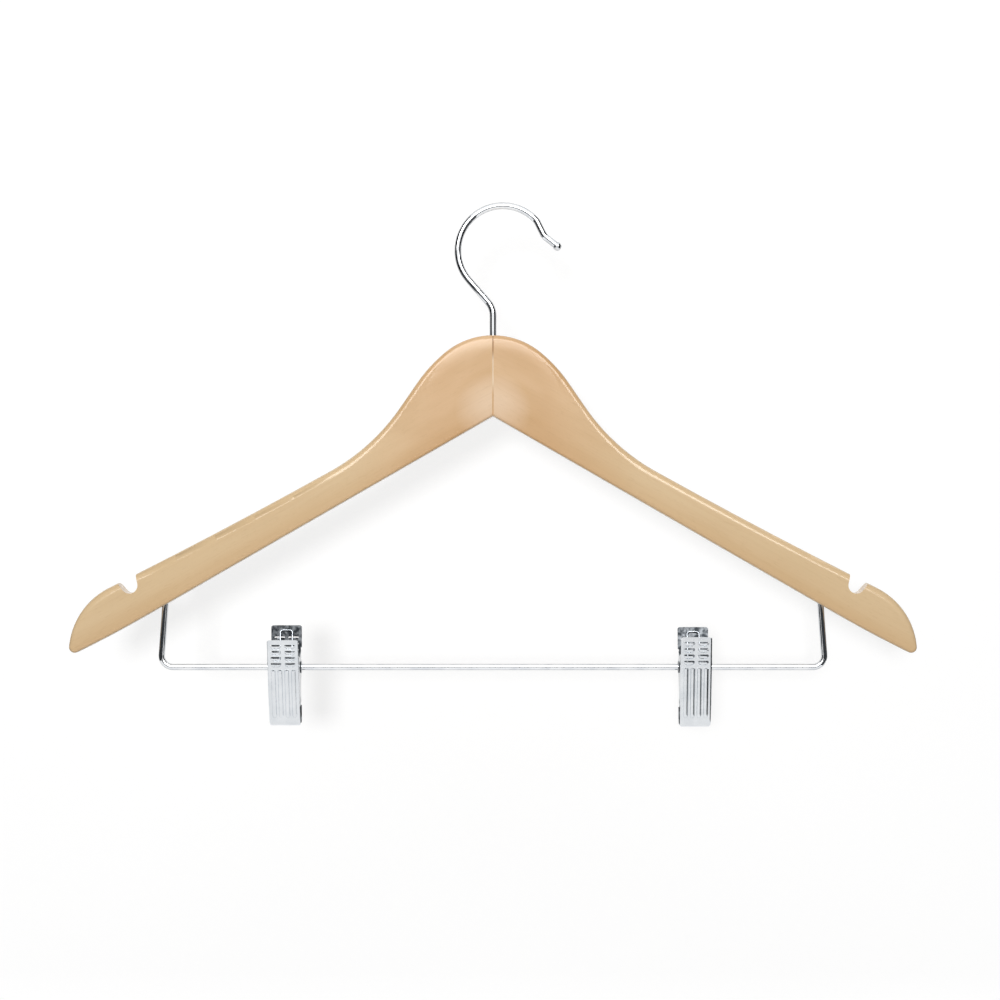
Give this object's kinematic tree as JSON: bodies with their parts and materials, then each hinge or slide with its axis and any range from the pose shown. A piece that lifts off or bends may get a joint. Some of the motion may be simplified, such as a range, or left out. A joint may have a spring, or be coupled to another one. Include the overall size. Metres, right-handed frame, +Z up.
{
  "type": "skirt hanger",
  "caption": "Wooden clothes hanger with a swivel wire hook, strap notches, a wire bar below the arms, and sprung metal clips that slide along the bar to hold a skirt.",
  "frame": {"origin": "on the hook's swivel axis, level with the top of the inside of the hook", "axes": "+X along the hanger, +Y to the back, +Z up along the swivel axis"},
  "size_m": [0.4448, 0.0249, 0.2764],
  "materials": {
    "arm_wood": "clear satin lacquer",
    "chrome_wire": "bright chrome plate",
    "clip_steel": "stamped sheet, bright nickel plate",
    "spring_steel": "drawn wire, nickel plate"
  },
  "bodies": {
    "hanger": {"left_arm": "arm_wood", "right_arm": "arm_wood", "trouser_bar": "chrome_wire"},
    "hook": {"hook": "chrome_wire"},
    "left_clip_slider": {"left_clip_hinge_tube": "clip_steel"},
    "left_clip_rear": {"left_clip_rear_jaw": "clip_steel", "left_clip_spring": "spring_steel"},
    "left_clip_front": {"left_clip_front_jaw": "clip_steel"},
    "right_clip_slider": {"right_clip_hinge_tube": "clip_steel"},
    "right_clip_rear": {"right_clip_rear_jaw": "clip_steel", "right_clip_spring": "spring_steel"},
    "right_clip_front": {"right_clip_front_jaw": "clip_steel"}
  },
  "joints": [
    {"name": "hook_swivel", "type": "hinge", "parent": "hanger", "child": "hook", "pos_m": [0, 0, -0.0667], "axis": [0, 0, 1], "continuous": true},
    {"name": "left_clip_slide", "type": "slide", "parent": "hanger", "child": "left_clip_slider", "axis": [1, 0, 0], "range_m": [-0.0489, 0.0976]},
    {"name": "left_clip_swing", "type": "hinge", "parent": "left_clip_slider", "child": "left_clip_rear", "pos_m": [-0.1096, 0, -0.2413], "axis": [1, 0, 0], "continuous": true},
    {"name": "left_clip_open", "type": "hinge", "parent": "left_clip_rear", "child": "left_clip_front", "pos_m": [-0.1096, 0, -0.2413], "axis": [-1, 0, 0], "range_deg": [0, 30], "stiffness_Nm_per_rad": 0.25, "springref_deg": -68.75, "deforming": ["left_clip_spring"]},
    {"name": "right_clip_slide", "type": "slide", "parent": "hanger", "child": "right_clip_slider", "axis": [1, 0, 0], "range_m": [-0.0943, 0.0522]},
    {"name": "right_clip_swing", "type": "hinge", "parent": "right_clip_slider", "child": "right_clip_rear", "pos_m": [0.1063, 0, -0.2413], "axis": [1, 0, 0], "continuous": true},
    {"name": "right_clip_open", "type": "hinge", "parent": "right_clip_rear", "child": "right_clip_front", "pos_m": [0.1063, 0, -0.2413], "axis": [-1, 0, 0], "range_deg": [0, 30], "stiffness_Nm_per_rad": 0.25, "springref_deg": -68.75, "deforming": ["right_clip_spring"]}
  ]
}
